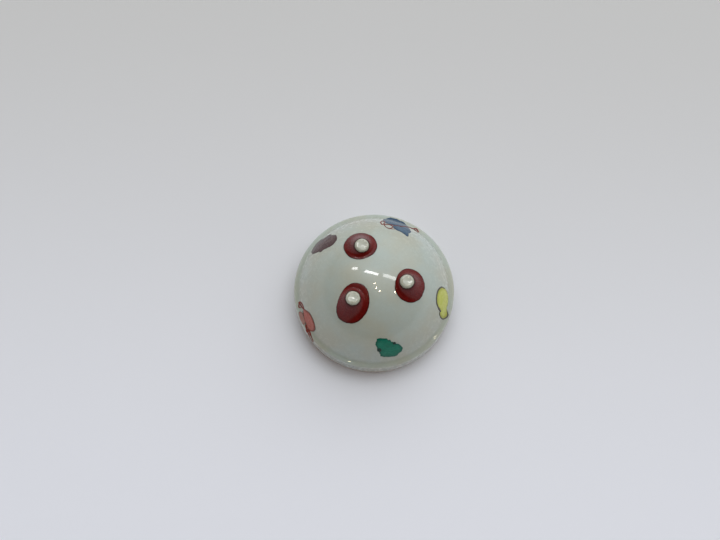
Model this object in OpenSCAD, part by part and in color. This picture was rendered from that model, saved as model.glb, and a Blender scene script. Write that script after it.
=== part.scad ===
// Flower frog: a hollow porcelain dome on a rounded foot band, with three raised
// knobs near its top, red enamel round each knob's white tip and five small
// enamel motifs in the belt below them. Millimetres, +Z up, the origin in the
// middle of the underside.

/* [Dome and foot] */
// Diameter across the foot band
base_d = 64; // [52:0.2:80]
// Height of the crease between the foot band and the dome
crease_h = 8.8; // [7:0.2:11]
// Height of the top of the dome
dome_h = 30.2; // [25:0.1:37]
// Thickness of the porcelain wall
wall_t = 3; // [2:0.1:3.6]
// Width of the rounded shoulder outside the crease
shoulder_w = 1.6; // [1:0.1:2.4]
// Width of the foot that the dome stands on
foot_w = 3.6; // [3:0.1:5]
// Height of the bare clay edge under the glaze
bare_edge_h = 0.7; // [0.4:0.1:1.4]
// How far the bare clay edge is rubbed back from the glaze
bare_edge_inset = 0.4; // [0.1:0.1:0.8]

/* [Knobs] */
// Distance from the middle of the dome to each knob
knob_reach = 12.5; // [10:0.1:15]
// Height of the knobs above the top of the dome
knob_above = 1; // [0.2:0.1:2]
// Diameter of a knob's white tip
tip_d = 5.4; // [4.4:0.1:6.5]
// Rounding of the tip's edge
tip_round = 0.9; // [0.4:0.1:1.2]
// Width of the shallow dish in the tip
dish_d = 3; // [2:0.1:3.2]
// Depth of the shallow dish in the tip
dish_depth = 0.15; // [0.05:0.05:0.3]
// Lean of the knob's flank from upright, in degrees
flank_angle = 30; // [20:1:34]
// Diameter of the peg that is luted into the dome
peg_d = 6.4; // [5:0.1:7]
// Gap between the peg and its hole, filled by the luting slip
luting_gap = 0.1; // [0.05:0.05:0.3]
// Direction of the rear knob, in degrees
rear_angle = 116; // [106:1:126]
// Direction of the right knob, in degrees
right_angle = -10.5; // [-20:0.5:0]
// Direction of the front knob, in degrees
front_angle = 231.5; // [222:0.5:241]

/* [Red collars] */
// Thickness of the red enamel
red_t = 0.3; // [0.2:0.05:0.5]
// Height of bare white flank between the red and the tip's rounding
red_below_tip = 0.1; // [0:0.05:0.6]
// Radius of the rear collar
rear_collar_r = 6.3; // [5.5:0.1:7]
// Radius of the right collar
right_collar_r = 5.7; // [5:0.1:7]
// Radius of the front collar
front_collar_r = 6.5; // [5.5:0.1:7]
// How far a collar's middle lies down the slope from its knob
collar_shift = 1; // [0:0.1:1.6]
// How far the right and front collars are drawn out to an oval
collar_draw = 0.9; // [0:0.1:1.2]

/* [Motifs] */
// Thickness of the overglaze enamels
enamel_t = 0.3; // [0.2:0.05:0.5]
// Width of the painted outlines
line_w = 0.5; // [0.3:0.1:0.8]
// Bare glaze left between the motifs and the shoulder
belt_gap = 0.3; // [0.2:0.1:1]

/* [Hidden] */
$fn = 96;

base_r = base_d / 2;
crease_r = base_r - shoulder_w;
dome_rise = dome_h - crease_h;
dome_r = (crease_r * crease_r + dome_rise * dome_rise) / (2 * dome_rise);
dome_z = dome_h - dome_r;
inner_r = dome_r - wall_t;
foot_inner_r = base_r - foot_w;
seat_inner_r = sqrt(inner_r * inner_r - pow(crease_h - dome_z, 2));
crease_lat = asin((crease_h - dome_z) / dome_r);
shoulder_top = crease_h + shoulder_w / 2;
knob_top = dome_h + knob_above;
tip_r = tip_d / 2;
tip_z = knob_top - tip_round;
dish_curve = (dish_d * dish_d / 4 + dish_depth * dish_depth) / (2 * dish_depth);
peg_r = peg_d / 2;
peg_z = dome_z + sqrt(inner_r * inner_r - knob_reach * knob_reach);
slope = tan(flank_angle);
knob_foot_z = ((knob_reach + tip_r + tip_z * slope) * slope + dome_z) / (1 + slope * slope);
past = 1;

// Each knob as [direction, collar radius, drawn out up the slope, drawn out sideways]
REAR = [rear_angle, rear_collar_r, 0, 0];
RIGHT = [right_angle, right_collar_r, 0, collar_draw];
FRONT = [front_angle, front_collar_r, collar_draw, 0];

// Each motif as its direction and its height up the belt, from 0 at the crease to 1 at the top
PURPLE_AT = [143, 0.26];
BLUE_AT = [73, 0.27];
YELLOW_AT = [-12, 0.17];
GREEN_AT = [-75, 0.24];
PINK_AT = [-151, 0.04];

// The cord under the pink bud, as its direction and its height on the foot band
CORD_AT = [-144, 6];
CORD_BEND = [-2, -3.2];
CORD_R = [6.4, 7.6];
CORD_FROM = 15;
CORD_TO = 80;

// Enamel outlines as round dabs [east, up, radius] that run together
PURPLE_DABS = [[1.2, -5, 3.4], [2.8, -2.4, 2.6], [0.2, -1, 4], [-2, 0.6, 3.5], [0, 2.2, 2.7]];
BLUE_BACK = [[3.6, -3.4, 2.6], [1.6, -5, 3.4], [-0.8, -5.6, 3.2], [-2.2, -6.6, 2.2]];
BLUE_TAIL = [
    [0.8, 0.9], [0.2, 3.9], [-2, 4.9], [-6.2, 4.8], [-6.6, 1], [-5.4, -5], [-4.6, -4.4], [-2.6, -1.6]
];
YELLOW_DABS = [[2, 0.2, 4.1], [-2.6, -3.4, 3]];
BIRD_BEND = [4.4, -9.4];
BIRD_BEND_R = 10.1;
BIRD_LINE_FROM = 82;
BIRD_LINE_TO = 160;
BIRD_LOOPS = [[6.6, -0.4, 1.2], [2.8, 2.2, 1.2]];
GREEN_DABS = [[-2.6, 2.4, 2.7], [-0.6, 1.6, 2.6], [0.4, -2, 3.8], [2.4, -2.2, 3.2]];
GREEN_MARKS = [[-3.6, -0.4, 1], [2.3, 1, 0.7]];
PINK_DABS = [[-2.2, 2.8, 2], [0.4, 2.4, 2.2], [3, 1.4, 2.1]];
PINK_LEAF_DABS = [[-6.8, 0.6, 1.2], [-5.4, 0.8, 1.4]];

module dabs(list, grow = 0) {
    for (dab = list)
        translate([dab[0], dab[1]])
            circle(r = dab[2] + grow);
}

// A curved brush stroke: part of a ring about a centre, from one direction to another
module stroke(centre, radius, from, to, width) {
    reach = radius + width;
    middle = (from + to) / 2;
    translate(centre)
        intersection() {
            difference() {
                circle(r = radius + width / 2);
                circle(r = radius - width / 2);
            }
            polygon([
                [0, 0],
                2 * reach * [cos(from), sin(from)],
                2 * reach * [cos(middle), sin(middle)],
                2 * reach * [cos(to), sin(to)]
            ]);
        }
}

// Stands a flat outline on the dome, its Y axis up the slope
module on_dome(at) {
    latitude = crease_lat + at[1] * (90 - crease_lat);
    translate([0, 0, dome_z])
        rotate([0, 90 - latitude, at[0]])
            rotate([0, 0, 90])
                children();
}

// The thin layer over the dome, above the shoulder
module dome_skin() {
    intersection() {
        translate([0, 0, dome_z])
            difference() {
                sphere(r = dome_r + enamel_t);
                sphere(r = dome_r);
            }
        translate([0, 0, shoulder_top + belt_gap])
            cylinder(r = base_r + past, h = dome_h);
    }
}

module enamel(at) {
    intersection() {
        dome_skin();
        on_dome(at)
            linear_extrude(height = dome_r + enamel_t + past)
                children();
    }
}

module at_knob(spec) {
    rotate([0, 0, spec[0]])
        translate([knob_reach, 0, 0])
            children();
}

// A cone over a knob's flank, grown by the thickness of what covers it
module flank(grow, top) {
    spread = grow / cos(flank_angle);
    translate([0, 0, knob_foot_z])
        cylinder(
            r1 = tip_r + spread + (tip_z - knob_foot_z) * slope,
            r2 = tip_r + spread + (tip_z - top) * slope,
            h = top - knob_foot_z
        );
}

// Half the section through a knob, from its axis to its flank
module knob_profile() {
    polygon([
        [0, knob_foot_z],
        [tip_r + (tip_z - knob_foot_z) * slope, knob_foot_z],
        [tip_r, tip_z],
        [0, tip_z]
    ]);
    translate([0, tip_z])
        intersection() {
            union() {
                square([tip_r - tip_round, tip_round]);
                translate([tip_r - tip_round, 0]) circle(r = tip_round);
            }
            square([tip_r, tip_round]);
        }
}

// The peg that goes through the dome
module peg() {
    translate([0, 0, peg_z])
        cylinder(r = peg_r, h = dome_h - peg_z);
}

module knob(spec) {
    color("white")
        difference() {
            at_knob(spec) rotate_extrude() knob_profile();
            at_knob(spec)
                translate([0, 0, knob_top - dish_depth + dish_curve])
                    sphere(r = dish_curve);
            difference() {
                translate([0, 0, dome_z]) sphere(r = dome_r);
                at_knob(spec) peg();
            }
        }
}

module collar_outline(spec) {
    for (side = [-1, 1])
        translate([collar_shift + side * spec[2], side * spec[3]])
            circle(r = spec[1]);
}

module red_collar(spec) {
    red_top = tip_z - red_below_tip;
    color("firebrick")
        intersection() {
            difference() {
                union() {
                    at_knob(spec) flank(red_t, red_top);
                    translate([0, 0, dome_z]) sphere(r = dome_r + red_t);
                }
                at_knob(spec) flank(0, tip_z);
                translate([0, 0, dome_z]) sphere(r = dome_r);
            }
            at_knob(spec)
                linear_extrude(height = red_top)
                    collar_outline(spec);
        }
}

module dome_shell() {
    color("lightgray")
        difference() {
            intersection() {
                translate([0, 0, dome_z])
                    difference() {
                        sphere(r = dome_r);
                        sphere(r = inner_r);
                    }
                translate([0, 0, crease_h])
                    cylinder(r = base_r, h = dome_h);
            }
            for (spec = [REAR, RIGHT, FRONT])
                at_knob(spec)
                    translate([0, 0, crease_h])
                        cylinder(r = peg_r + luting_gap, h = dome_h);
        }
}

module foot_band() {
    color("gainsboro")
        difference() {
            union() {
                translate([0, 0, bare_edge_h])
                    cylinder(r = base_r, h = crease_h - bare_edge_h);
                translate([0, 0, crease_h])
                    rotate_extrude()
                        intersection() {
                            translate([crease_r + shoulder_w / 2, 0]) circle(r = shoulder_w / 2);
                            translate([crease_r, 0]) square([shoulder_w, shoulder_w]);
                        }
            }
            translate([0, 0, bare_edge_h])
                cylinder(r1 = foot_inner_r, r2 = seat_inner_r, h = crease_h - bare_edge_h);
        }
}

module bare_foot_edge() {
    color("tan")
        difference() {
            cylinder(r1 = base_r - bare_edge_inset, r2 = base_r, h = bare_edge_h);
            translate([0, 0, -past])
                cylinder(r = foot_inner_r, h = bare_edge_h + 2 * past);
        }
}

module rear_knob() {
    knob(REAR);
}

module right_knob() {
    knob(RIGHT);
}

module front_knob() {
    knob(FRONT);
}

module rear_red_collar() {
    red_collar(REAR);
}

module right_red_collar() {
    red_collar(RIGHT);
}

module front_red_collar() {
    red_collar(FRONT);
}

module purple_leaf() {
    color("#6b5557") enamel(PURPLE_AT) dabs(PURPLE_DABS);
}

// The red line along the bird's back and the two loops of its neck
module bird_line_shape() {
    stroke(BIRD_BEND, BIRD_BEND_R, BIRD_LINE_FROM, BIRD_LINE_TO, line_w);
    for (loop = BIRD_LOOPS)
        translate([loop[0], loop[1]])
            difference() {
                circle(r = loop[2] + line_w / 2);
                circle(r = loop[2] - line_w / 2);
            }
}

module blue_bird() {
    color("#4f7391")
        enamel(BLUE_AT)
            difference() {
                dabs(BLUE_BACK);
                bird_line_shape();
            }
}

module blue_bird_tail() {
    color("#4a6a8f")
        enamel(BLUE_AT)
            difference() {
                polygon(BLUE_TAIL);
                dabs(BLUE_BACK);
                bird_line_shape();
            }
}

module blue_bird_lines() {
    color("#7a2a22") enamel(BLUE_AT) bird_line_shape();
}

module yellow_gourd() {
    color("#c3c65e") enamel(YELLOW_AT) dabs(YELLOW_DABS);
}

module yellow_gourd_outline() {
    color("#4a4a40")
        enamel(YELLOW_AT)
            difference() {
                dabs(YELLOW_DABS, line_w);
                dabs(YELLOW_DABS);
            }
}

module green_bean() {
    color("#1f7560")
        enamel(GREEN_AT)
            difference() {
                dabs(GREEN_DABS);
                dabs(GREEN_MARKS);
            }
}

// Dark pools where the bean's lobes meet
module green_bean_marks() {
    color("#123a30") enamel(GREEN_AT) dabs(GREEN_MARKS);
}

module pink_bud() {
    color("#b0584c") enamel(PINK_AT) dabs(PINK_DABS);
}

module pink_bud_outline() {
    color("#6e2018")
        enamel(PINK_AT)
            difference() {
                dabs(PINK_DABS, line_w);
                dabs(PINK_DABS);
            }
}

module pink_leaf() {
    color("#8a2a20")
        enamel(PINK_AT)
            difference() {
                dabs(PINK_LEAF_DABS);
                dabs(PINK_DABS, line_w);
            }
}

// The two strands that hang from the bud over the foot band
module pink_bud_cord() {
    color("#8a2a20")
        intersection() {
            difference() {
                cylinder(r = base_r + enamel_t, h = crease_h);
                cylinder(r = base_r, h = crease_h);
            }
            rotate([0, 0, CORD_AT[0]])
                translate([0, 0, CORD_AT[1]])
                    rotate([90, 0, 90])
                        linear_extrude(height = base_r + past)
                            for (radius = CORD_R)
                                stroke(CORD_BEND, radius, CORD_FROM, CORD_TO, line_w);
        }
}

dome_shell();
foot_band();
bare_foot_edge();
rear_knob();
right_knob();
front_knob();
rear_red_collar();
right_red_collar();
front_red_collar();
purple_leaf();
blue_bird();
blue_bird_tail();
blue_bird_lines();
yellow_gourd();
yellow_gourd_outline();
green_bean();
green_bean_marks();
pink_bud();
pink_bud_outline();
pink_leaf();
pink_bud_cord();
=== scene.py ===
"""A porcelain flower frog: the visible pieces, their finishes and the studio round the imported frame.

A hollow dome stands on a rounded foot band. Three raised knobs near its top have white tips and
red enamel flanks, and five small enamel motifs lie in the belt below them. Metres, +Z up, the
origin in the middle of the underside. Sizes named in millimetres are turned into metres by MM.
"""

import logging
import math
from dataclasses import dataclass, field
from enum import Enum
from typing import Sequence

import bmesh
import bpy
from mathutils import Matrix, Vector, noise


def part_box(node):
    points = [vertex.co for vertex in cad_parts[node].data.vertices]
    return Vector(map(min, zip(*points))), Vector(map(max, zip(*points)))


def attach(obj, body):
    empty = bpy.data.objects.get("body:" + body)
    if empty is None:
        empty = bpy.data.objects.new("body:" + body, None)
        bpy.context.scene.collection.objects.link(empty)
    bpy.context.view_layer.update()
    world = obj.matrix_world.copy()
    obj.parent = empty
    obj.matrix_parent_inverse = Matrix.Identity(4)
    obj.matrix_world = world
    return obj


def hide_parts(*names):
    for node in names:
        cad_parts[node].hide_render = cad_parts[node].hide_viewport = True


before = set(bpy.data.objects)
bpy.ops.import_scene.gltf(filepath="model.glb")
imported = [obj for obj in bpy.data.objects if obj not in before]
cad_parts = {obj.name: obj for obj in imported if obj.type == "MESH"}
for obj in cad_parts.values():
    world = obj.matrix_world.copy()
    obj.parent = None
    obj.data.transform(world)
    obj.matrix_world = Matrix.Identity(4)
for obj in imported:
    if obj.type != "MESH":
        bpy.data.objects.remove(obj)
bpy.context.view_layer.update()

MM = 0.001
FULL_TURN = 2 * math.pi
BODY = "root"
log = logging.getLogger("flower_frog")

Point = tuple[float, float]
Colour = tuple[float, float, float]


def linear(red: int, green: int, blue: int) -> Colour:
    """A display colour of 0 to 255 per channel, as a scene-linear colour."""
    channels = (value / 255 for value in (red, green, blue))
    return tuple(c / 12.92 if c <= 0.04045 else ((c + 0.055) / 1.055) ** 2.4 for c in channels)


def smooth(value: float, low: float, high: float) -> float:
    """A soft step from 0 at low to 1 at high."""
    t = min(1.0, max(0.0, (value - low) / (high - low)))
    return t * t * (3 - 2 * t)


def wander(x: float, y: float, z: float, seed: float = 0.0) -> float:
    """Smooth noise from about -1 to 1 at a point."""
    return noise.noise(Vector((x + seed, y - 2.3 * seed, z + 0.7 * seed)))


# ---------------------------------------------------------------------------- meshes


class Outline:
    """A closed outline round its middle, given by a few points and smooth between them."""

    def __init__(self, points: Sequence[Point]) -> None:
        """Sorts the points round their middle.

        Args:
            points: Points of the outline in millimetres, east and up the slope.
        """
        self.middle = (
            sum(p[0] for p in points) / len(points),
            sum(p[1] for p in points) / len(points),
        )
        polar = sorted(
            (math.atan2(v - self.middle[1], u - self.middle[0]), math.dist((u, v), self.middle))
            for u, v in points
        )
        self.angles = [a for a, _ in polar]
        self.radii = [r for _, r in polar]

    def reach(self, angle: float) -> float:
        """How far the outline lies from its middle.

        Args:
            angle: Direction from the middle, in radians.

        Returns:
            The distance in millimetres.
        """
        count = len(self.angles)
        angle = (angle - self.angles[0]) % FULL_TURN + self.angles[0]
        after = next((i for i, a in enumerate(self.angles) if a > angle), count)
        knots = []
        for i in range(after - 2, after + 2):
            turns, index = divmod(i, count)
            knots.append((self.angles[index] + turns * FULL_TURN, self.radii[index]))
        (a0, r0), (a1, r1), (a2, r2), (a3, r3) = knots
        span = a2 - a1
        t = (angle - a1) / span
        slope1 = span * (r2 - r0) / (a2 - a0)
        slope2 = span * (r3 - r1) / (a3 - a1)
        square, cube = t * t, t * t * t
        return (
            (2 * cube - 3 * square + 1) * r1
            + (cube - 2 * square + t) * slope1
            + (3 * square - 2 * cube) * r2
            + (cube - square) * slope2
        )

    def point(self, angle: float, share: float = 1.0, roughness: float = 0.0) -> Point:
        """The point at a share of the way from the middle to the outline, in millimetres."""
        reach = self.reach(angle)
        x, y = math.cos(angle), math.sin(angle)
        rough = wander(2.5 * x, 2.5 * y, reach) + 0.6 * wander(9 * x, 9 * y, 0.5 * reach)
        reach = share * (reach + roughness * rough)
        return self.middle[0] + reach * math.cos(angle), self.middle[1] + reach * math.sin(angle)


def curve_through(points: Sequence[Point], per_span: int = 8, closed: bool = False) -> list[Point]:
    """Points along a smooth line through a few given ones.

    Args:
        points: The points that the line goes through.
        per_span: How many steps there are between two of them.
        closed: Whether the line returns to its start.

    Returns:
        The points of the line in order.
    """
    count = len(points)
    spans = count if closed else count - 1
    line = []
    for span in range(spans):
        ends = (span - 1, span, span + 1, span + 2)
        if closed:
            a, b, c, d = (Vector(points[i % count]) for i in ends)
        else:
            a, b, c, d = (Vector(points[min(count - 1, max(0, i))]) for i in ends)
        for step in range(per_span):
            t = step / per_span
            line.append(tuple(
                0.5 * (2 * b + (c - a) * t + (2 * a - 5 * b + 4 * c - d) * t**2
                       + (3 * b - a - 3 * c + d) * t**3)
            ))
    if not closed:
        line.append(tuple(points[-1]))
    return line


class Lathe:
    """Draws half a section in the XZ plane, and turns it round the Z axis."""

    def __init__(self, start: Point) -> None:
        """Puts the first point of the section.

        Args:
            start: Radius and height in metres.
        """
        self.bm = bmesh.new()
        self.last = self.bm.verts.new((start[0], 0, start[1]))

    def line(self, to: Point, steps: int = 1) -> "Lathe":
        """Draws a straight stretch of the section.

        Args:
            to: Radius and height of its end, in metres.
            steps: How many edges it has.

        Returns:
            The lathe, for the next stretch.
        """
        start, end = self.last.co.copy(), Vector((to[0], 0, to[1]))
        for step in range(1, steps + 1):
            vert = self.bm.verts.new(start.lerp(end, step / steps))
            self.bm.edges.new((self.last, vert))
            self.last = vert
        return self

    def arc(self, centre: Point, turn: float, steps: int) -> "Lathe":
        """Draws a round stretch of the section.

        Args:
            centre: Radius and height of the arc's centre, in metres.
            turn: Angle from +X towards +Z that the arc sweeps, in radians.
            steps: How many edges it has.

        Returns:
            The lathe, for the next stretch.
        """
        swept = bmesh.ops.spin(
            self.bm, geom=[self.last], cent=(centre[0], 0, centre[1]), axis=(0, -1, 0),
            angle=turn, steps=steps, use_duplicate=False,
        )
        self.last = next(g for g in swept["geom_last"] if isinstance(g, bmesh.types.BMVert))
        return self

    def turn(self, segments: int) -> bmesh.types.BMesh:
        """Turns the section a full round, and closes its poles.

        Args:
            segments: How many steps the round has.

        Returns:
            The turned shape, which the caller frees.
        """
        section = self.bm.verts[:] + self.bm.edges[:]
        bmesh.ops.spin(
            self.bm, geom=section, cent=(0, 0, 0), axis=(0, 0, 1), angle=FULL_TURN,
            steps=segments, use_merge=True, use_duplicate=False,
        )
        bmesh.ops.remove_doubles(self.bm, verts=self.bm.verts[:], dist=1e-7)
        bmesh.ops.recalc_face_normals(self.bm, faces=self.bm.faces[:])
        return self.bm


def piece_from(
    bm: bmesh.types.BMesh,
    name: str,
    node: str,
    material: bpy.types.Material,
) -> bpy.types.Object:
    """Makes a finished piece that stands for a CAD node.

    Args:
        bm: The shape, which is freed.
        name: Name of the new piece.
        node: The CAD node that it stands for.
        material: Its finish.

    Returns:
        The new object, riding on the frame.
    """
    bmesh.ops.recalc_face_normals(bm, faces=bm.faces[:])
    mesh = bpy.data.meshes.new(name)
    bm.to_mesh(mesh)
    bm.free()
    mesh.shade_smooth()
    mesh.materials.append(material)
    piece = bpy.data.objects.new(name, mesh)
    bpy.context.scene.collection.objects.link(piece)
    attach(piece, BODY)
    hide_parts(node)
    log.info("%s: %d faces, for %s", name, len(mesh.polygons), node)
    return piece


# ---------------------------------------------------------------------------- finishes


TIP_WHITE = linear(184, 186, 172)
# beige painted shade for the white tips, at their dish edge and their rounded rim
TIP_PAINTED_SHADE = linear(136, 130, 106)
# Ochre of the bare foot: partly the clay's own colour, partly painted shade kept to the front-left
# side.
FOOT_OCHRE = linear(142, 100, 52)
OCHRE_SHADE_SIDE = Vector((-0.42, -0.91, 0))
SPECK = linear(120, 108, 92)
DISH_EDGE = 0.66  # share of the tip's radius where a beige ring of painted shade lies
GLAZE_IOR = 1.5
COAT_IOR = 1.52


class NodeTree:
    """Adds and joins the shader nodes of a material or a sky."""

    def __init__(self, owner: bpy.types.Material | bpy.types.World) -> None:
        """Empties the owner's node tree."""
        owner.use_nodes = True
        self.tree = owner.node_tree
        self.tree.nodes.clear()

    def add(self, kind: str, settings: dict | None = None, **inputs: object) -> bpy.types.Node:
        """Adds a node.

        Args:
            kind: The node's type, without its ShaderNode prefix.
            settings: Its own properties.
            **inputs: Values or output sockets for its inputs, by name with _ for a space.

        Returns:
            The new node.
        """
        node = self.tree.nodes.new("ShaderNode" + kind)
        for key, value in (settings or {}).items():
            setattr(node, key, value)
        for key, value in inputs.items():
            self.feed(node.inputs[key.replace("_", " ")], value)
        return node

    def feed(self, socket: bpy.types.NodeSocket, value: object) -> None:
        """Sets a socket to a value, or joins it to an output."""
        if isinstance(value, bpy.types.NodeSocket):
            self.tree.links.new(value, socket)
        elif isinstance(value, tuple) and len(value) == 3 and socket.type == "RGBA":
            socket.default_value = (*value, 1.0)
        else:
            socket.default_value = value

    def towards(self, where: bpy.types.NodeSocket, way: Vector) -> bpy.types.NodeSocket:
        """How far a point or a direction lies towards another direction."""
        along = self.add("VectorMath", {"operation": "DOT_PRODUCT"}, Vector=where)
        along.inputs[1].default_value = way
        return along.outputs["Value"]

    def height(self, where: bpy.types.NodeSocket) -> bpy.types.NodeSocket:
        """The Z of a point or a direction."""
        return self.add("SeparateXYZ", Vector=where).outputs["Z"]

    def cloud(
        self,
        where: bpy.types.NodeSocket,
        size: float,
        detail: float = 3.0,
        stretch: Sequence[float] = (1, 1, 1),
        turn: float = 0.0,
    ) -> bpy.types.NodeSocket:
        """Noise from 0 to 1.

        Args:
            where: The coordinates that it follows.
            size: Size of its blotches, in the coordinates' units.
            detail: How many finer layers it has.
            stretch: Share of the scale along each axis.
            turn: Angle in the XY plane that the stretch is turned by, in radians.

        Returns:
            The noise value.
        """
        mapped = self.add(
            "Mapping", {"vector_type": "POINT"}, Vector=where, Rotation=(0.0, 0.0, turn),
            Scale=tuple(s / size for s in stretch),
        )
        return self.add("TexNoise", Vector=mapped.outputs[0], Scale=1.0, Detail=detail).outputs[0]

    def remap(
        self, value: bpy.types.NodeSocket, source: Point, target: Point = (0.0, 1.0)
    ) -> bpy.types.NodeSocket:
        """Maps a value softly from one range to another, and holds it there."""
        node = self.add("MapRange", {"interpolation_type": "SMOOTHSTEP"}, Value=value)
        for key, number in zip(("From Min", "From Max", "To Min", "To Max"), (*source, *target)):
            node.inputs[key].default_value = number
        return node.outputs[0]

    def blend(
        self, amount: object, first: object, second: object, mode: str = "MIX"
    ) -> bpy.types.NodeSocket:
        """Mixes two colours."""
        node = self.add("Mix", {"data_type": "RGBA", "blend_type": mode})
        self.feed(node.inputs[0], amount)
        self.feed(node.inputs[6], first)
        self.feed(node.inputs[7], second)
        return node.outputs[2]

    def sum(self, first: object, second: object, kind: str = "ADD") -> bpy.types.NodeSocket:
        """Joins two numbers by a Math operation."""
        node = self.add("Math", {"operation": kind})
        self.feed(node.inputs[0], first)
        self.feed(node.inputs[1], second)
        return node.outputs[0]

    def relief(self, *layers: tuple[bpy.types.NodeSocket, float]) -> bpy.types.NodeSocket:
        """Bumps one over another.

        Args:
            *layers: Height value from 0 to 1 and its depth in metres, for each bump.

        Returns:
            The normal.
        """
        normal = None
        for height, depth in layers:
            bump = self.add("Bump", Height=height, Strength=1.0, Distance=depth)
            if normal is not None:
                self.feed(bump.inputs["Normal"], normal)
            normal = bump.outputs[0]
        return normal


class NodeBench(NodeTree):
    """The nodes of one material, round its Principled shader."""

    def __init__(self, name: str) -> None:
        """Starts a material with a Principled shader and its output."""
        self.material = bpy.data.materials.new(name)
        super().__init__(self.material)
        output = self.add("OutputMaterial")
        self.shader = self.add("BsdfPrincipled")
        self.feed(output.inputs["Surface"], self.shader.outputs["BSDF"])

    def set(self, **inputs: object) -> None:
        """Sets or joins inputs of the Principled shader, by name with _ for a space."""
        for key, value in inputs.items():
            self.feed(self.shader.inputs[key.replace("_", " ")], value)

    def place(self) -> bpy.types.NodeSocket:
        """The point on the piece, in the piece's own metres."""
        return self.add("TexCoord").outputs["Object"]

    def ochre_and_shade(self) -> bpy.types.NodeSocket:
        """How far the foot takes its ochre, strongest on the front-left side as painted shade."""
        return self.remap(self.towards(self.place(), OCHRE_SHADE_SIDE), (20 * MM, 30 * MM))


@dataclass(frozen=True)
class Glaze:
    """A glossy porcelain glaze over a pale body."""

    name: str
    tone: Colour
    warm: Colour
    pool: Colour
    pool_height: float = 0.0
    white_from: float = 0.0
    roughness: float = 0.22

    def material(self) -> bpy.types.Material:
        """Makes the glaze: soft clouds, faint specks, pooled grooves and a wavy glassy skin."""
        bench = NodeBench(self.name)
        where = bench.place()
        clouds = bench.remap(bench.cloud(where, 14 * MM), (0.3, 0.7))
        mottle = bench.remap(bench.cloud(where, 1.6 * MM, 5.0), (0.35, 0.75))
        colour = bench.blend(clouds, self.tone, self.warm)
        colour = bench.blend(bench.sum(mottle, 0.12, "MULTIPLY"), colour, self.pool)
        if self.pool_height:
            height = bench.height(where)
            off = bench.sum(bench.sum(height, self.pool_height, "SUBTRACT"), 0.0, "ABSOLUTE")
            groove = bench.remap(off, (0.1 * MM, 0.9 * MM), (0.35, 0.0))
            colour = bench.blend(groove, colour, self.pool)
            thin = bench.remap(height, (1.2 * MM, 3.0 * MM), (0.95, 0.0))
            # Ochre where the glaze thins at the foot: the clay's own colour, kept to the front left as
            # painted shade.
            colour = bench.blend(bench.sum(thin, bench.ochre_and_shade(), "MULTIPLY"), colour, FOOT_OCHRE)
        if self.white_from:
            bare = bench.remap(bench.height(where), (self.white_from, self.white_from + 0.8 * MM))
            out = bench.add("Attribute", {"attribute_name": "crown"}).outputs["Fac"]
            # Painted shade on the white tip: beige at the dish edge and at the rounded rim, broken up
            # by noise.
            off = bench.sum(bench.sum(out, DISH_EDGE, "SUBTRACT"), 0.0, "ABSOLUTE")
            shade_breakup = bench.remap(bench.cloud(where, 1.1 * MM, 3.0), (0.35, 0.65), (0.3, 1.0))
            ring = bench.sum(bench.remap(off, (0.0, 0.2), (0.75, 0.0)), shade_breakup, "MULTIPLY")
            edge = bench.sum(bench.remap(out, (0.8, 1.0), (0.0, 0.7)), shade_breakup, "MULTIPLY")
            white = bench.blend(bench.sum(ring, edge, "MAXIMUM"), TIP_WHITE, TIP_PAINTED_SHADE)
            colour = bench.blend(bare, colour, white)
        specks = bench.add("TexVoronoi", Vector=where, Scale=1 / (2.6 * MM)).outputs["Distance"]
        speck = bench.remap(specks, (0.03, 0.075), (0.3, 0.0))
        colour = bench.blend(speck, colour, SPECK)
        bench.set(
            Base_Color=colour,
            Roughness=bench.remap(mottle, (0, 1), (self.roughness, self.roughness + 0.1)),
            IOR=GLAZE_IOR,
            Subsurface_Weight=0.12,
            Subsurface_Radius=(1.0, 0.9, 0.75),
            Subsurface_Scale=1.2 * MM,
            Specular_IOR_Level=0.2,
            Coat_Weight=0.85,
            Coat_Roughness=0.025,
            Coat_IOR=COAT_IOR,
        )
        normal = bench.relief((bench.cloud(where, 7 * MM, 1.0), 0.014 * MM))
        bench.set(Normal=normal, Coat_Normal=normal)
        return bench.material


@dataclass(frozen=True)
class Enamel:
    """A brushed overglaze enamel, streaky across and darker where it pools at its rim."""

    name: str
    tone: Colour
    streak: Colour
    rim: Colour
    streak_turn: float = 0.0
    streak_share: float = 0.6
    roughness: float = 0.2

    def material(self) -> bpy.types.Material:
        """Makes the enamel from the piece's own brush map and rim attribute."""
        bench = NodeBench(self.name)
        brush = bench.add("UVMap", {"uv_map": "brush"}).outputs[0]
        where = bench.place()
        rim = bench.add("Attribute", {"attribute_name": "rim"}).outputs["Fac"]
        strokes = bench.cloud(brush, 1.0, 4.0, (0.25, 1.6, 1), self.streak_turn)
        strokes = bench.remap(strokes, (0.36, 0.66), (0.0, self.streak_share))
        colour = bench.blend(strokes, self.tone, self.streak)
        patches = bench.remap(bench.cloud(brush, 3.2, 2.0), (0.35, 0.7), (0.0, 0.45))
        colour = bench.blend(patches, colour, self.streak)
        edge = bench.remap(rim, (0.72, 0.97), (0.0, 0.8))
        colour = bench.blend(edge, colour, self.rim)
        grain = bench.cloud(where, 0.35 * MM, 3.0)
        bench.set(
            Base_Color=colour,
            Roughness=bench.remap(grain, (0.2, 0.8), (self.roughness, self.roughness + 0.15)),
            IOR=GLAZE_IOR,
            Specular_IOR_Level=0.12,
            Coat_Weight=0.35,
            Coat_Roughness=0.04,
            Coat_IOR=COAT_IOR,
        )
        normal = bench.relief(
            (bench.cloud(where, 3 * MM, 1.0), 0.012 * MM), (strokes, 0.006 * MM)
        )
        bench.set(Normal=normal, Coat_Normal=normal)
        return bench.material


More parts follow.
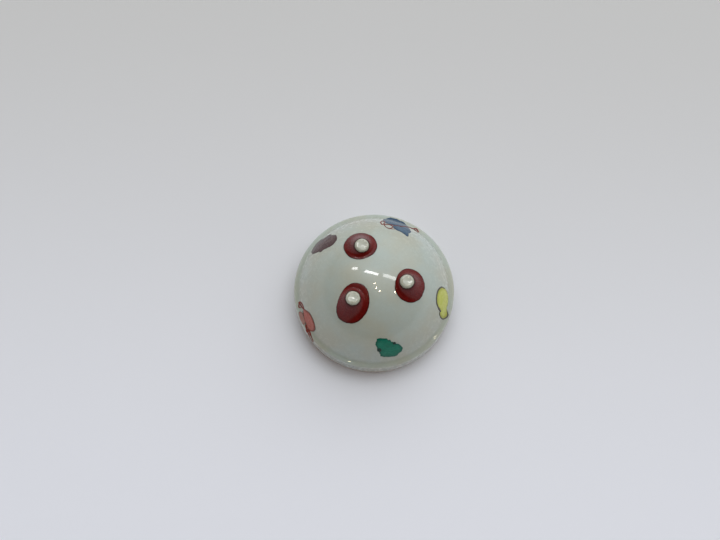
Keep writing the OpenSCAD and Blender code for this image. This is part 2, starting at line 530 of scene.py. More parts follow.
@dataclass(frozen=True)
class Clay:
    """Bare fired clay, ochre under the glaze line: partly its own colour, partly painted shade on the
    front left.
    """

    name: str
    tone: Colour
    dark: Colour
    ochre_and_shade_tint: Colour

    def material(self) -> bpy.types.Material:
        """Makes the clay: matt, gritty, and ochre towards the glaze."""
        bench = NodeBench(self.name)
        where = bench.place()
        grit = bench.cloud(where, 0.4 * MM, 6.0)
        wear = bench.remap(bench.cloud(where, 5 * MM, 3.0), (0.35, 0.7))
        colour = bench.blend(wear, self.tone, self.dark)
        colour = bench.blend(bench.remap(grit, (0.5, 0.8), (0.0, 0.5)), colour, self.dark)
        near_glaze = bench.remap(bench.height(where), (0.1 * MM, 0.6 * MM))
        # Ochre near the glaze line: the clay's own colour, kept to the front left as painted shade.
        fired = bench.sum(near_glaze, bench.ochre_and_shade(), "MULTIPLY")
        colour = bench.blend(fired, colour, self.ochre_and_shade_tint)
        bench.set(
            Base_Color=colour,
            Roughness=bench.remap(grit, (0.3, 0.7), (0.75, 0.95)),
            Normal=bench.relief((grit, 0.05 * MM)),
        )
        return bench.material


CELADON_TONES = linear(175, 185, 179), linear(177, 178, 164), linear(156, 163, 149)
CELADON = Glaze("celadon_glaze", *CELADON_TONES, pool_height=9.9 * MM)
KNOB_GLAZE = Glaze("white_glaze", *CELADON_TONES, white_from=29.2 * MM)
BARE_CLAY = Clay("bare_clay", linear(196, 176, 142), linear(150, 124, 90), linear(148, 98, 48))


class Paint(Enum):
    """The enamels of the collars and motifs."""

    RED = Enamel("red_enamel", linear(88, 6, 4), linear(108, 16, 10), linear(46, 2, 2))
    PURPLE = Enamel(
        "purple_enamel", linear(66, 40, 42), linear(98, 78, 76), linear(70, 48, 50), 0.7, 0.85
    )
    BLUE = Enamel(
        "blue_enamel", linear(42, 72, 98), linear(84, 110, 130), linear(34, 58, 84), 0.3, 0.6
    )
    BRICK_LINE = Enamel("red_line", linear(108, 20, 16), linear(136, 56, 44), linear(80, 14, 12))
    YELLOW = Enamel(
        "yellow_enamel", linear(184, 190, 88), linear(200, 201, 118), linear(156, 160, 64), 0.3, 0.5
    )
    DARK_LINE = Enamel("dark_line", linear(66, 62, 56), linear(116, 110, 100), linear(44, 40, 36))
    GREEN = Enamel(
        "green_enamel", linear(1, 104, 82), linear(14, 128, 104), linear(1, 84, 68), 0.2, 0.5
    )
    DEEP_GREEN = Enamel(
        "dark_green_enamel", linear(14, 44, 38), linear(22, 64, 52), linear(8, 28, 26)
    )
    PINK = Enamel("pink_enamel", linear(164, 78, 66), linear(190, 122, 108), linear(116, 52, 44))
    PALE_PINK = Enamel(
        "pink_enamel", linear(160, 118, 110), linear(176, 142, 134), linear(130, 84, 78)
    )


def enamel_from(
    bm: bmesh.types.BMesh,
    name: str,
    node: str,
    paint: Paint,
    brush: dict[bmesh.types.BMVert, Point],
) -> None:
    """Makes an enamel piece, with the brush map that its finish reads.

    Args:
        bm: The shape, which is freed.
        name: Name of the new piece.
        node: The CAD node that it stands for.
        paint: Its enamel, which is named as the record's slot is.
        brush: Each vertex's brush coordinates, in millimetres.
    """
    layer = bm.loops.layers.uv.new("brush")
    for face in bm.faces:
        for loop in face.loops:
            loop[layer].uv = brush[loop.vert]
    piece_from(bm, name, node, paint.value.material())


# ---------------------------------------------------------------------------- the pottery


@dataclass
class Dome:
    """The dome and the foot band that it stands on, as one fired body."""

    wall: float = 3.0 * MM
    shoulder_round: float = 1.3 * MM
    shoulder_rise: float = 0.7 * MM
    crease_fill: float = 1.8 * MM
    foot_wide: float = 3.6 * MM
    foot_lip: float = 0.45 * MM
    clay_inset: float = 0.25 * MM
    clay_chamfer: float = 0.4 * MM
    glaze_line_wander: float = 0.18 * MM
    segments: int = 240
    crease_r: float = field(init=False)
    crease_z: float = field(init=False)
    top_z: float = field(init=False)
    foot_r: float = field(init=False)
    bare_z: float = field(init=False)

    def __post_init__(self) -> None:
        """Reads the driving sizes from the frame."""
        low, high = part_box("dome_shell")
        self.crease_r, self.crease_z, self.top_z = high.x, low.z, high.z
        self.foot_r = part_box("foot_band")[1].x
        self.bare_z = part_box("bare_foot_edge")[1].z
        self.rise = self.top_z - self.crease_z
        self.radius = (self.crease_r**2 + self.rise**2) / (2 * self.rise)
        self.centre_z = self.top_z - self.radius
        self.inner_radius = self.radius - self.wall
        self.seat_r = math.sqrt(self.inner_radius**2 - (self.crease_z - self.centre_z) ** 2)
        self.foot_inner_r = self.foot_r - self.foot_wide
        self.crease_latitude = math.asin((self.crease_z - self.centre_z) / self.radius)
        self.lay_out_crease()

    def height(self, x: float, y: float) -> float:
        """Height of the dome's outer face over a point, in metres."""
        return self.centre_z + math.sqrt(max(0.0, self.radius**2 - x * x - y * y))

    def frame_at(self, azimuth: float, climb: float) -> Matrix:
        """The frame of a place on the dome: X east, Y up the slope, Z outwards.

        Args:
            azimuth: Direction of the place, in degrees.
            climb: Its height up the belt, from 0 at the crease to 1 at the top.

        Returns:
            The rotation.
        """
        latitude = self.crease_latitude + climb * (math.pi / 2 - self.crease_latitude)
        return (
            Matrix.Rotation(math.radians(azimuth), 3, "Z")
            @ Matrix.Rotation(math.pi / 2 - latitude, 3, "Y")
            @ Matrix.Rotation(math.pi / 2, 3, "Z")
        )

    def spot(self, turned: Matrix, u: float, v: float, lift: float) -> Vector:
        """The point on the dome for a point of a motif.

        Args:
            turned: The motif's frame.
            u: Distance east, in millimetres.
            v: Distance up the slope, in millimetres.
            lift: Height over the glaze, in metres.

        Returns:
            The point in metres.
        """
        u, v = u * MM, v * MM
        out = math.sqrt(max(1e-12, self.radius**2 - u * u - v * v))
        arm = turned @ Vector((u, v, out)).normalized()
        return Vector((0, 0, self.centre_z)) + arm * (self.skin(math.asin(arm.z)) + lift)

    def build_dome(self) -> None:
        """Turns the shell: its outer face, its inner face and its seat on the foot."""
        outer_turn = math.pi / 2 - self.crease_latitude
        inner_turn = math.acos(self.seat_r / self.inner_radius)
        lathe = Lathe((self.seat_r, self.crease_z))
        lathe.line((self.crease_r, self.crease_z), 3)
        lathe.arc((0, self.centre_z), outer_turn, 110)
        lathe.line((0, self.top_z - self.wall))
        lathe.arc((0, self.centre_z), -(math.pi / 2 - inner_turn), 60)
        piece_from(
            lathe.turn(self.segments), "dome", "dome_shell", CELADON.material()
        )

    def lay_out_crease(self) -> None:
        """Works out the round shoulder, the glaze that fills the crease, and where they meet."""
        middle = Vector((0, self.centre_z))
        shoulder, fill = self.shoulder_round, self.crease_fill
        rise = self.shoulder_rise - shoulder
        self.shoulder = Vector((self.foot_r - shoulder, self.crease_z + rise))
        apart = (self.shoulder - middle).length
        to_dome, to_shoulder = self.radius + fill, shoulder + fill
        along = (to_dome**2 - to_shoulder**2 + apart**2) / (2 * apart)
        aside = math.sqrt(to_dome**2 - along**2)
        east = (self.shoulder - middle) / apart
        self.fill = middle + along * east + aside * Vector((-east.y, east.x))
        self.dome_meeting = middle + (self.fill - middle) * (self.radius / to_dome)
        share = shoulder / to_shoulder
        self.shoulder_meeting = self.shoulder.lerp(self.fill, share)

    def latitude(self, point: Vector) -> float:
        """The angle over level of a point in XZ, seen from the dome's centre."""
        return math.atan2(point.y - self.centre_z, point.x)

    def skin(self, latitude: float) -> float:
        """How far the glaze is from the dome's centre, over the dome, crease, shoulder and band.

        Args:
            latitude: Angle over level, in radians.

        Returns:
            The distance in metres.
        """
        way = Vector((math.cos(latitude), math.sin(latitude)))
        if latitude >= self.latitude(self.dome_meeting):
            return self.radius
        if latitude >= self.latitude(self.shoulder_meeting):
            centre, radius, side = self.fill, self.crease_fill, -1
        elif latitude >= self.latitude(self.shoulder + Vector((self.shoulder_round, 0))):
            centre, radius, side = self.shoulder, self.shoulder_round, 1
        else:
            return self.foot_r / way.x
        arm = centre - Vector((0, self.centre_z))
        middle = way.dot(arm)
        return middle + side * math.sqrt(max(0.0, radius**2 - arm.length_squared + middle**2))

    def build_foot(self) -> None:
        """Turns the foot band: wall, shoulder, filled crease, seat and inside."""
        over = math.atan2(self.fill.y - self.shoulder.y, self.fill.x - self.shoulder.x)
        start = math.atan2(self.shoulder.y - self.fill.y, self.shoulder.x - self.fill.x)
        end = math.atan2(self.dome_meeting.y - self.fill.y, self.dome_meeting.x - self.fill.x)
        lathe = Lathe((self.foot_r - self.foot_lip, self.bare_z))
        lathe.arc((self.foot_r - self.foot_lip, self.bare_z + self.foot_lip), math.pi / 2, 6)
        lathe.line((self.foot_r, self.shoulder.y), 14)
        lathe.arc((self.shoulder.x, self.shoulder.y), over, 18)
        lathe.arc((self.fill.x, self.fill.y), (end - start) % -FULL_TURN, 12)
        lathe.line((self.crease_r - 1.2 * MM, self.crease_z), 1)
        lathe.line((self.seat_r, self.crease_z), 2)
        lathe.line((self.foot_inner_r, self.bare_z), 8)
        lathe.line((self.foot_r - self.foot_lip, self.bare_z), 2)
        bm = lathe.turn(self.segments)
        for vert in bm.verts:
            if vert.co.z < self.bare_z + self.foot_lip and vert.co.xy.length > self.foot_r - 2 * MM:
                x, y = 140 * vert.co.x, 140 * vert.co.y
                vert.co.z += self.glaze_line_wander * (0.5 + 0.8 * wander(x, y, 0, 4))
        piece_from(bm, "foot", "foot_band", CELADON.material())

    def build_bare_edge(self) -> None:
        """Turns the bare clay ring under the glaze, with rubbed corners."""
        rub = 0.2 * MM
        outer = self.foot_r - self.clay_inset
        tread = outer - self.clay_chamfer - rub
        lathe = Lathe((self.foot_inner_r + rub, 0))
        lathe.line((tread, 0), 6)
        lathe.arc((tread, rub), math.radians(70), 4)
        lathe.line((outer, self.bare_z), 3)
        lathe.line((outer - 0.1 * MM, self.bare_z + 0.35 * MM), 2)
        lathe.line((self.foot_inner_r + rub, self.bare_z + 0.1 * MM), 4)
        lathe.line((self.foot_inner_r, self.bare_z), 1)
        lathe.line((self.foot_inner_r, rub), 3)
        lathe.arc((self.foot_inner_r + rub, rub), math.pi / 2, 3)
        bm = lathe.turn(self.segments)
        for vert in bm.verts:
            if vert.co.z > 0.5 * rub:
                x, y = 900 * vert.co.x, 900 * vert.co.y
                inward = 1 - 0.0012 * (1 + wander(x, y, 900 * vert.co.z, 9))
                vert.co.x *= inward
                vert.co.y *= inward
        piece_from(bm, "clay_edge", "bare_foot_edge", BARE_CLAY.material())


@dataclass
class Knob:
    """A raised knob with a white tip, its soft foot on the dome and its red collar."""

    name: str
    dome: Dome
    azimuth: float
    paint: Outline
    seed: float
    reach: float = 12.5 * MM
    tip: float = 2.7 * MM
    tip_round: float = 0.9 * MM
    dish: float = 0.14 * MM
    lean: float = math.radians(30)
    fillet: float = 2.2 * MM
    skirt: float = 0.6 * MM
    coat: float = 0.28 * MM
    buried: float = 0.7 * MM
    wobble: float = 0.09 * MM
    dip: float = 0.12 * MM
    rings: int = 36
    segments: int = 144

    def __post_init__(self) -> None:
        """Places the knob, and reads its height from the frame."""
        self.out = math.radians(self.azimuth)
        self.top_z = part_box(f"{self.name}_knob")[1].z
        self.edge_z = self.top_z - self.tip_round
        self.axis = Vector((self.reach * math.cos(self.out), self.reach * math.sin(self.out)))

    def over(self, rho: float, angle: float) -> float:
        """How far the knob's cone stands over the dome at a point round its axis."""
        x, y = self.at(rho, angle)
        return self.edge_z - (rho - self.tip) / math.tan(self.lean) - self.dome.height(x, y)

    def at(self, rho: float, angle: float) -> Point:
        """The place at a distance from the axis, in a direction from downhill."""
        turned = self.out + angle
        return self.axis.x + rho * math.cos(turned), self.axis.y + rho * math.sin(turned)

    def surface(self, rho: float, angle: float) -> Vector:
        """The point of the mound's face at a distance from its axis."""
        x, y = self.at(rho, angle)
        over = self.over(rho, angle)
        base = self.dome.height(x, y)
        soft = max(0.0, self.fillet - abs(over)) ** 2 / (4 * self.fillet)
        return Vector((x, y, base + max(0.0, over) + soft))

    def normal(self, rho: float, angle: float) -> Vector:
        """The outward direction of the mound's face."""
        step = 0.02 * MM
        here = self.surface(rho, angle)
        along = self.surface(rho + step, angle) - here
        across = self.surface(rho, angle + step / rho) - here
        return along.cross(across).normalized()

    def end(self, angle: float) -> float:
        """Where the mound's skirt ends, just past the fillet."""
        rho = self.tip
        while self.over(rho, angle) > -(self.fillet + self.skirt):
            rho += 0.05 * MM
        return rho

    def build_knob(self) -> None:
        """Turns the rounded tip, and lets the flank run out into the dome."""
        flat = self.tip - self.tip_round
        unit = 10 * MM
        lathe = Lathe((0, self.top_z))
        lathe.line((flat, self.top_z), 10)
        lathe.arc((flat, self.edge_z), -math.pi / 2, 10)
        lathe.line((self.tip + unit, self.edge_z), self.rings)
        lathe.line((self.tip + unit, 0))
        lathe.line((0, 0), 6)
        bm = lathe.turn(self.segments)
        crown = bm.verts.layers.float.new("crown")
        ends: dict[int, float] = {}
        for vert in bm.verts:
            rho, angle = vert.co.xy.length, math.atan2(vert.co.y, vert.co.x)
            vert[crown] = rho / self.tip
            key = round(angle / FULL_TURN * self.segments) % self.segments
            if key not in ends:
                ends[key] = self.end(angle)
            if vert.co.z < 0.5 * self.edge_z:
                rho *= ends[key] / (self.tip + unit)
                x, y = self.at(rho, angle)
                vert.co = (x, y, self.dome.height(x, y) - self.buried)
            elif rho > self.tip + 1e-6:
                share = (rho - self.tip) / unit
                rho = self.tip + share * (ends[key] - self.tip)
                vert.co = self.surface(rho, angle)
                past = smooth(-self.over(rho, angle), self.fillet, self.fillet + self.skirt)
                vert.co.z -= 0.1 * MM * past
            else:
                x, y = self.at(rho, angle)
                sunk = self.dish * (1 - smooth(rho, 0.4 * MM, flat))
                vert.co = (x, y, vert.co.z - sunk)
        for vert in bm.verts:
            if vert.co.z > self.edge_z - 3 * MM:
                x, y, z = 260 * vert.co
                fade = smooth(vert.co.z, self.edge_z - 3 * MM, self.edge_z - 1 * MM)
                vert.co.x += self.wobble * fade * wander(x, y, z, self.seed)
                vert.co.y += self.wobble * fade * wander(x, y, z, self.seed + 5)
                vert.co.z -= self.dip * fade * abs(wander(x, y, z, self.seed + 8))
        piece_from(
            bm, f"{self.name}_knob_clay", f"{self.name}_knob", KNOB_GLAZE.material()
        )

    def build_collar(self) -> None:
        """Lays the red enamel over the flank as a thin coat with rounded, uneven edges."""
        bm = bmesh.new()
        section = bmesh.ops.create_circle(bm, segments=56, radius=1.0)["verts"]
        bmesh.ops.rotate(bm, verts=section, matrix=Matrix.Rotation(math.pi / 2, 3, "X"))
        bmesh.ops.translate(bm, verts=section, vec=(3, 0, 0))
        bmesh.ops.spin(
            bm, geom=bm.verts[:] + bm.edges[:], cent=(0, 0, 0), axis=(0, 0, 1), angle=FULL_TURN,
            steps=self.segments, use_merge=True, use_duplicate=False,
        )
        rim_layer = bm.verts.layers.float.new("rim")
        brush = {}
        for vert in bm.verts:
            angle = math.atan2(vert.co.y, vert.co.x)
            across = vert.co.xy.length - 3
            side = vert.co.z
            share = (across + 1) / 2
            u, v = self.paint.point(angle, 1.0, 0.16)
            outer = math.hypot(u, v) * MM
            true_angle = math.atan2(v, u)
            uneven = wander(3 * math.cos(angle), 3 * math.sin(angle), 0, self.seed)
            inner = self.tip + (0.04 + 0.1 * uneven) * MM
            rho = inner + share * (outer - inner)
            lift = self.coat * max(0.0, side) ** 0.45 - 0.06 * MM * max(0.0, -side)
            x, y = 300 * rho * math.cos(angle), 300 * rho * math.sin(angle)
            ripple = 1 + 0.25 * wander(x, y, 1, self.seed)
            lift = lift * ripple if lift > 0 else lift
            vert.co = self.surface(rho, true_angle) + lift * self.normal(rho, true_angle)
            vert[rim_layer] = abs(across)
            brush[vert] = (rho / MM, angle * 5)
        enamel_from(bm, f"{self.name}_collar", f"{self.name}_red_collar", Paint.RED, brush)


@dataclass
class Motif:
    """One enamel motif, as drops and strokes on the dome round one place."""

    dome: Dome
    azimuth: float
    climb: float

    def __post_init__(self) -> None:
        """Turns the motif's frame to its place on the dome."""
        self.turned = self.dome.frame_at(self.azimuth, self.climb)

    def drop(
        self,
        name: str,
        node: str,
        paint: Paint,
        outlines: Sequence[Sequence[Point]],
        thickness: float = 0.26,
        roughness: float = 0.12,
    ) -> None:
        """Lays thin crowned drops of enamel.

        Args:
            name: Name of the piece.
            node: The CAD node that it stands for.
            paint: Its enamel.
            outlines: The outline of each drop, in millimetres east and up the slope.
            thickness: Its greatest thickness, in millimetres.
            roughness: How far its edge wanders, in millimetres.
        """
        bm = bmesh.new()
        rim_layer = bm.verts.layers.float.new("rim")
        brush = {}
        for points in outlines:
            outline = Outline(points)
            ball = bmesh.ops.create_uvsphere(bm, u_segments=128, v_segments=36, radius=1.0)["verts"]
            for vert in ball:
                share = min(1.0, vert.co.xy.length)
                side = vert.co.z
                u, v = outline.point(math.atan2(vert.co.y, vert.co.x), share, roughness)
                waves = 1 + 0.3 * wander(0.6 * u, 0.6 * v, self.azimuth)
                top = thickness * MM * max(0.0, side) ** 0.5 * waves
                vert.co = self.dome.spot(self.turned, u, v, top - 0.06 * MM * max(0.0, -side))
                vert[rim_layer] = share
                brush[vert] = (u, v)
        enamel_from(bm, name, node, paint, brush)

    def strokes(
        self,
        name: str,
        node: str,
        paint: Paint,
        lines: Sequence[tuple[Sequence[Point], float, bool]],
    ) -> None:
        """Draws raised brush lines that swell and taper.

        Args:
            name: Name of the piece.
            node: The CAD node that it stands for.
            paint: Its enamel.
            lines: For each line its points in millimetres, its width and whether it is closed.
        """
        bm = bmesh.new()
        rim_layer = bm.verts.layers.float.new("rim")
        brush: dict[bmesh.types.BMVert, Point] = {}
        for points, width, closed in lines:
            path = curve_through(points, 10, closed)
            self.sweep(bm, path, width, closed, rim_layer, brush)
        enamel_from(bm, name, node, paint, brush)

    def sweep(
        self,
        bm: bmesh.types.BMesh,
        path: Sequence[Point],
        width: float,
        closed: bool,
        rim_layer: bmesh.types.BMLayerItem,
        brush: dict[bmesh.types.BMVert, Point],
    ) -> None:
        """Sweeps a low round section along a path, by extruding its ring from step to step."""
        sides = 14
        count = len(path)
        ring = bmesh.ops.create_circle(bm, segments=sides, radius=1.0, cap_ends=not closed)["verts"]
        angles = [math.atan2(v.co.y, v.co.x) for v in ring]
        first = ring
        for step in range(count):
            u, v = path[step]
            before = path[(step - 1) % count] if closed or step else path[step]
            after = path[(step + 1) % count] if closed or step < count - 1 else path[step]
            along = Vector((after[0] - before[0], after[1] - before[1])).normalized()
            aside = Vector((-along.y, along.x))
            share = step / (count - 1)
            taper = 1.0 if closed else min(1.0, 0.25 + 2.6 * math.sqrt(share * (1 - share)))
            half = 0.5 * width * taper * (1 + 0.22 * wander(0.9 * u, 0.9 * v, width, 3))
            for vert, angle in zip(ring, angles):
                across, lift = half * math.cos(angle), 0.6 * half * math.sin(angle)
                point = (u + aside.x * across, v + aside.y * across)
                vert.co = self.dome.spot(self.turned, *point, (lift + 0.02) * MM)
                vert[rim_layer] = abs(math.cos(angle))
                brush[vert] = point
            if step == count - 1:
                break
            edges = [e for v in ring for e in v.link_edges if e.other_vert(v) in ring]
            grown = bmesh.ops.extrude_edge_only(bm, edges=list(set(edges)))["geom"]
            fresh = {g for g in grown if isinstance(g, bmesh.types.BMVert)}
            ring = [
                next(e.other_vert(v) for e in v.link_edges if e.other_vert(v) in fresh)
                for v in ring
            ]
        last_edges = list({e for v in ring for e in v.link_edges if e.other_vert(v) in ring})
        if closed:
            first_edges = list({e for v in first for e in v.link_edges if e.other_vert(v) in first})
            bmesh.ops.bridge_loops(bm, edges=first_edges + last_edges)
        else:
            bmesh.ops.contextual_create(bm, geom=last_edges)


# ---------------------------------------------------------------------------- the studio


SKY_STOPS = ((0.4, (0.07, 0.062, 0.05)), (1.0, (1.15, 1.2, 1.22)))
SURROUND = (0.62, 0.61, 0.6)
LAMP_TINT = (1.0, 0.84, 0.6)
MIRROR_FAR = 1.5
FILL_FAR = 1.8


@dataclass
class Studio:
    """The pale floor, the soft light and the camera."""

    eye: Vector = field(default_factory=lambda: Vector((0, -0.1091, 0.3948)))
    aim: Vector = field(default_factory=lambda: Vector((-0.00616, 0.01057, 0)))
    lens: float = 50.15
    sky_middle: Vector = field(default_factory=lambda: Vector((0.2, 0.72, 0.66)))

    def set_camera(self) -> None:
        """Puts the camera over the front of the piece, looking down."""
        data = bpy.data.cameras.new("camera")
        data.lens = self.lens
        data.sensor_width = 36
        data.clip_start = 0.01
        camera = bpy.data.objects.new("camera", data)
        bpy.context.scene.collection.objects.link(camera)
        camera.location = self.eye
        camera.rotation_euler = (self.aim - self.eye).to_track_quat("-Z", "Y").to_euler()
        bpy.context.scene.camera = camera

    def lay_floor(self) -> None:
        """Lays the floor, with painted light: darker at the back and brighter towards the front."""
        bm = bmesh.new()
        bmesh.ops.create_grid(bm, x_segments=8, y_segments=8, size=1.5)
        mesh = bpy.data.meshes.new("floor")
        bm.to_mesh(mesh)
        bm.free()
        floor = bpy.data.objects.new("floor", mesh)
        bpy.context.scene.collection.objects.link(floor)
        bench = NodeBench("floor_paint")
        where = bench.place()
        parts = bench.add("SeparateXYZ", Vector=where)
        # Painted light: the floor darkens towards the back and brightens towards the front.
        painted_light_drift = bench.remap(parts.outputs[1], (0.16, -0.12))
        colour = bench.blend(painted_light_drift, linear(206, 205, 205), linear(235, 236, 245))
        grain = bench.cloud(where, 0.9 * MM, 2.0)
        colour = bench.blend(bench.sum(grain, 0.05, "MULTIPLY"), colour, linear(214, 213, 214))
        bench.set(Base_Color=colour, Roughness=0.6, Normal=bench.relief((grain, 0.01 * MM)))
        mesh.materials.append(bench.material)

    def softbox(
        self,
        name: str,
        way: Sequence[float],
        far: float,
        size: Point,
        power: float,
        tint: Colour = (1.0, 1.0, 1.0),
        mirrored: bool = False,
        turn: float = 0.0,
    ) -> None:
        """Hangs a rectangular light that looks at the piece.

        A mirrored light only shows as a reflection in the glaze, and any other only lights it.

        Args:
            name: Name of the light.
            way: Direction from the piece to the light.
            far: Its distance in metres.
            size: Its width and height in metres.
            power: Its power in watts.
            tint: Its colour.
            mirrored: Whether it is seen in the glaze.
            turn: Its turn about its own axis, in radians.
        """
        data = bpy.data.lights.new(name, "AREA")
        data.shape = "RECTANGLE"
        data.size, data.size_y = size
        data.energy = power
        data.color = tint
        light = bpy.data.objects.new(name, data)
        bpy.context.scene.collection.objects.link(light)
        light.location = Vector(way).normalized() * far + Vector((0, 0, 0.02))
        back = Vector(way).normalized()
        right = (Vector((1, 0, 0)) - back * back.x).normalized()
        facing = Matrix((right, back.cross(right), back)).transposed()
        light.rotation_euler = (facing @ Matrix.Rotation(turn, 3, "Z")).to_euler()
        light.visible_glossy = mirrored
        light.visible_diffuse = not mirrored
        light.visible_transmission = False

    def light(self) -> None:
        """Sets the sky and hangs the lights."""
        world = bpy.data.worlds.new("studio")
        bpy.context.scene.world = world
        nodes = NodeTree(world)
        way = nodes.add("TexCoord").outputs["Generated"]
        spread = nodes.add("ValToRGB", Fac=nodes.towards(way, self.sky_middle.normalized()))
        spread.color_ramp.interpolation = "EASE"
        for stop, (position, colour) in zip(spread.color_ramp.elements, SKY_STOPS):
            stop.position = position
            stop.color = (*colour, 1)
        low = nodes.remap(nodes.height(way), (0.2, 0.24), (1.0, 0.0))
        sky = nodes.blend(low, spread.outputs[0], SURROUND, "LIGHTEN")
        background = nodes.add("Background", Color=sky, Strength=1.0)
        nodes.add("OutputWorld", Surface=background.outputs[0])
        self.softbox("window", (0.2, 0.6, 0.8), FILL_FAR, (2.6, 2.0), 12, (0.98, 0.99, 1.0))
        self.softbox("left_fill", (-0.75, -0.25, 0.62), FILL_FAR, (2.0, 2.0), 6.5, (1.0, 0.99, 0.97))
        self.softbox("right_fill", (0.75, -0.2, 0.62), FILL_FAR, (2.0, 2.0), 6.5, (1.0, 0.99, 0.98))
        panes = (
            ("oval_pane", (-0.446, 0.415, 0.79), (0.2, 0.1), 0.8, -0.4),
            ("long_pane", (-0.08, 0.325, 0.943), (0.5, 0.09), 2.4, -0.26),
            ("right_pane", (0.34, 0.25, 0.907), (0.46, 0.13), 1.5, -0.12),
        )
        for name, way, size, power, turn in panes:
            self.softbox(name, way, MIRROR_FAR, size, power, mirrored=True, turn=turn)
        lamps = (
            ((0.007, 0.06, 0.998), 0.05), ((0.058, -0.053, 0.997), 0.05),
            ((0.142, -0.123, 0.982), 0.06), ((0.496, -0.093, 0.863), 0.05),
            ((-0.164, -0.319, 0.933), 0.04),
        )
        for way, size in lamps:
            self.softbox("lamp", way, MIRROR_FAR, (size, size), 0.5, LAMP_TINT, mirrored=True)
        bpy.context.scene.view_settings.view_transform = "Standard"


# ---------------------------------------------------------------------------- the order of work


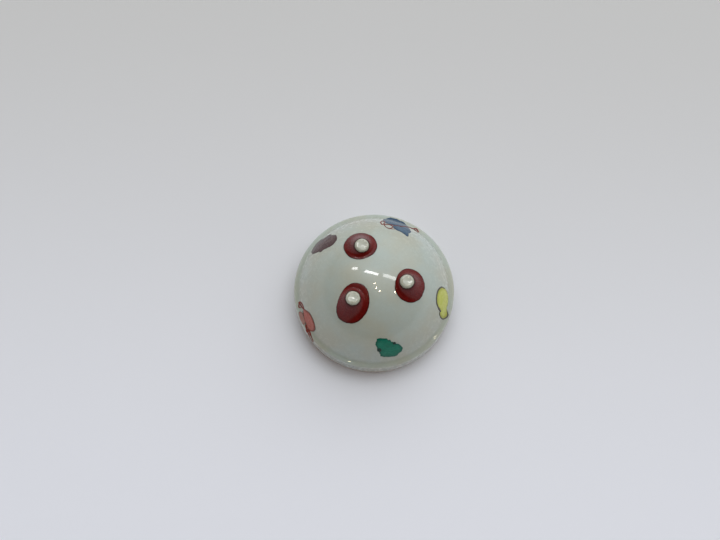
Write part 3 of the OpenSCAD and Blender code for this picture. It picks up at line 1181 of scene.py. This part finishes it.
def build_motifs(dome: Dome) -> None:
    """Lays the five motifs in the belt.

    Args:
        dome: The dome that they lie on.
    """
    purple = Motif(dome, 143, 0.26)
    purple.drop("purple_enamel_leaf", "purple_leaf", Paint.PURPLE, [[
        (5.2, -5.8), (4.5, -0.4), (3.9, 1.8), (2.1, 3.0), (-0.5, 5.0), (-2.2, 5.0), (-5.1, 2.6),
        (-4.2, -2.1), (-5.5, -2.4), (-2.6, -5.2), (-0.5, -8.7), (2.2, -8.4),
    ]], 0.2, 0.5)
    blue = Motif(dome, 73, 0.27)
    blue.drop("bird_back", "blue_bird", Paint.BLUE, [[
        (5.9, -4.2), (5.8, -8.0), (4.8, -9.7), (2.6, -10.1), (-0.2, -10.1), (-2.5, -9.6),
        (-4.3, -6.4), (-3.2, -3.8), (-1.5, -1.8), (0.9, -0.3), (3.2, 0.1), (4.8, -0.7),
    ]], 0.14)
    blue.drop("bird_tail", "blue_bird_tail", Paint.BLUE, [[
        (1.0, 0.9), (-0.4, 3.3), (-3.2, 3.7), (-4.9, 4.3), (-6.2, 4.6), (-5.9, 1.9), (-6.1, -2.2),
        (-5.2, -4.0), (-4.6, -5.0), (-3.4, -3.4), (-1.7, -1.2),
    ]], 0.14)
    blue.strokes("bird_lines", "blue_bird_lines", Paint.BRICK_LINE, [
        ([(4.2, 1.6), (0.9, 0.1), (-1.6, -1.5), (-4.4, -5.5), (-5.4, -7.3), (-7.2, -9.3),
          (-9.1, -8.3)], 0.5, False),
        ([(-5.6, -6.2), (-7.2, -8.2), (-8.8, -6.6)], 0.4, False),
        ([(6.1, 0.2), (5.9, -2.0), (4.9, -1.6), (4.6, 0.3), (5.1, 2.2)], 0.5, True),
        ([(4.3, 1.9), (3.3, 0.9), (1.3, 1.3), (0.9, 2.7), (1.7, 4.3), (3.2, 3.8)], 0.45, True),
        ([(3.2, 3.9), (1.7, 4.4), (-0.4, 3.4)], 0.35, False),
    ])
    yellow = Motif(dome, -12, 0.17)
    gourd = [
        (6.1, 1.4), (5.0, 3.2), (3.3, 4.3), (0.9, 4.5), (-1.2, 3.6), (-2.5, 1.9), (-3.1, -0.2),
        (-4.4, -0.8), (-5.1, -3.0), (-4.7, -5.2), (-2.6, -6.1), (-0.4, -4.9), (2.9, -4.8), (5.4, -2.6),
    ]
    yellow.drop("gourd", "yellow_gourd", Paint.YELLOW, [gourd])
    yellow.strokes("gourd_outline", "yellow_gourd_outline", Paint.DARK_LINE, [
        ([(5.9, -0.6), (5.6, 2.4), (3.4, 4.4), (0.9, 4.6), (-1.2, 3.7), (-2.6, 1.9)], 0.65, False),
        ([(-2.4, 2.2), (-3.1, 0.2), (-3.3, -0.9)], 0.8, False),
        ([(-3.2, -0.4), (-4.5, -0.8), (-5.2, -3.0), (-4.8, -5.3), (-2.7, -6.2), (-0.6, -5.0)],
         0.5, False),
        ([(-0.4, -4.9), (2.6, -4.9), (5.4, -2.7), (6.0, -0.4)], 0.25, False),
    ])
    green = Motif(dome, -75, 0.24)
    green.drop("bean", "green_bean", Paint.GREEN, [[
        (5.4, -2.4), (4.4, 0.0), (2.3, 1.2), (0.6, 3.2), (-0.9, 4.6), (-2.9, 5.1), (-4.2, 4.6),
        (-4.9, 2.1), (-3.9, -0.4), (-3.2, -3.6), (-0.4, -5.7), (3.2, -5.5), (4.9, -3.9),
    ]], 0.26, 0.7)
    green.drop("bean_marks", "green_bean_marks", Paint.DEEP_GREEN, [
        [(-2.8, -0.3), (-3.4, 0.6), (-4.4, 0.0), (-4.3, -1.2), (-3.2, -1.4)],
        [(3.0, 1.3), (2.2, 1.9), (1.6, 1.4), (2.2, 0.8)],
    ], 0.3)
    pink = Motif(dome, -151, 0.04)
    bud = [
        (-4.2, 1.7), (-2.6, 3.7), (-1.0, 4.8), (2.2, 4.8), (5.0, 3.0), (5.3, 0.5), (4.4, -0.6),
        (2.8, -0.9), (0.5, -0.6), (-2.4, 0.0),
    ]
    pink.drop("bud", "pink_bud", Paint.PINK, [bud])
    pink.drop("bud_lobe", "pink_bud", Paint.PALE_PINK, [[
        (-4.6, -1.1), (-2.7, -1.6), (-0.9, -1.7), (0.8, -1.5), (0.6, -0.9), (-2.0, -0.6), (-4.1, -0.6),
    ]], 0.14)
    pink.strokes("bud_outline", "pink_bud_outline", Paint.DARK_LINE, [
        ([(-2.8, 3.6), (-0.9, 4.9), (2.2, 4.9), (5.1, 3.0), (5.4, 0.6)], 0.3, False),
        ([(-4.3, 0.2), (-2.0, -0.3), (0.6, -0.8), (1.4, -1.2)], 0.25, False),
    ])
    pink.strokes("bud_leaf", "pink_leaf", Paint.BRICK_LINE, [
        ([(-7.9, -0.2), (-7.6, 0.8), (-6.0, 1.9), (-4.2, 1.9), (-5.2, 1.0), (-6.4, 0.4)], 0.7, True),
        ([(-7.4, -0.5), (-6.2, -0.7), (-5.7, -0.1)], 0.4, False),
    ])
    pink.strokes("bud_cord", "pink_bud_cord", Paint.BRICK_LINE, [
        ([(1.2, -1.0), (3.6, -1.4), (5.7, -1.9), (8.1, -3.9)], 0.45, False),
        ([(3.4, -0.8), (6.0, -1.2), (8.3, -1.8)], 0.4, False),
        ([(2.9, -1.3), (3.6, -1.4), (4.2, -1.5)], 0.9, False),
    ])


def build_knobs(dome: Dome) -> None:
    """Raises the three knobs, and paints their collars.

    Args:
        dome: The dome that they stand on.
    """
    collars = {
        "rear": (116, [
            (7.4, 0.4), (5.2, 5.2), (0.6, 6.4), (-3.4, 4.6), (-4.9, 0.6), (-3.6, -4.4), (0.6, -6.2),
            (5.2, -4.6),
        ]),
        "right": (-10.5, [
            (7.0, -0.3), (5.4, 4.6), (1.4, 6.3), (-2.8, 4.6), (-4.2, 0.2), (-3.0, -4.8), (1.4, -6.7),
            (5.4, -5.0),
        ]),
        "front": (231.5, [
            (8.0, 0.0), (6.5, 5.0), (0.7, 7.0), (-3.8, 4.9), (-6.6, 0.2), (-5.0, -3.9), (0.6, -5.3),
            (3.6, -4.4), (7.0, -2.2),
        ]),
    }
    for seed, (name, (azimuth, points)) in enumerate(collars.items(), start=1):
        knob = Knob(name, dome, azimuth, Outline(points), 10.0 * seed)
        knob.build_knob()
        knob.build_collar()


def main() -> None:
    """Builds the stage, then the pottery, then its enamels."""
    logging.basicConfig(level=logging.INFO, format="%(name)s: %(message)s")
    studio = Studio()
    studio.set_camera()
    studio.lay_floor()
    studio.light()
    dome = Dome()
    dome.build_dome()
    dome.build_foot()
    dome.build_bare_edge()
    build_knobs(dome)
    build_motifs(dome)


if __name__ == "__main__":
    main()
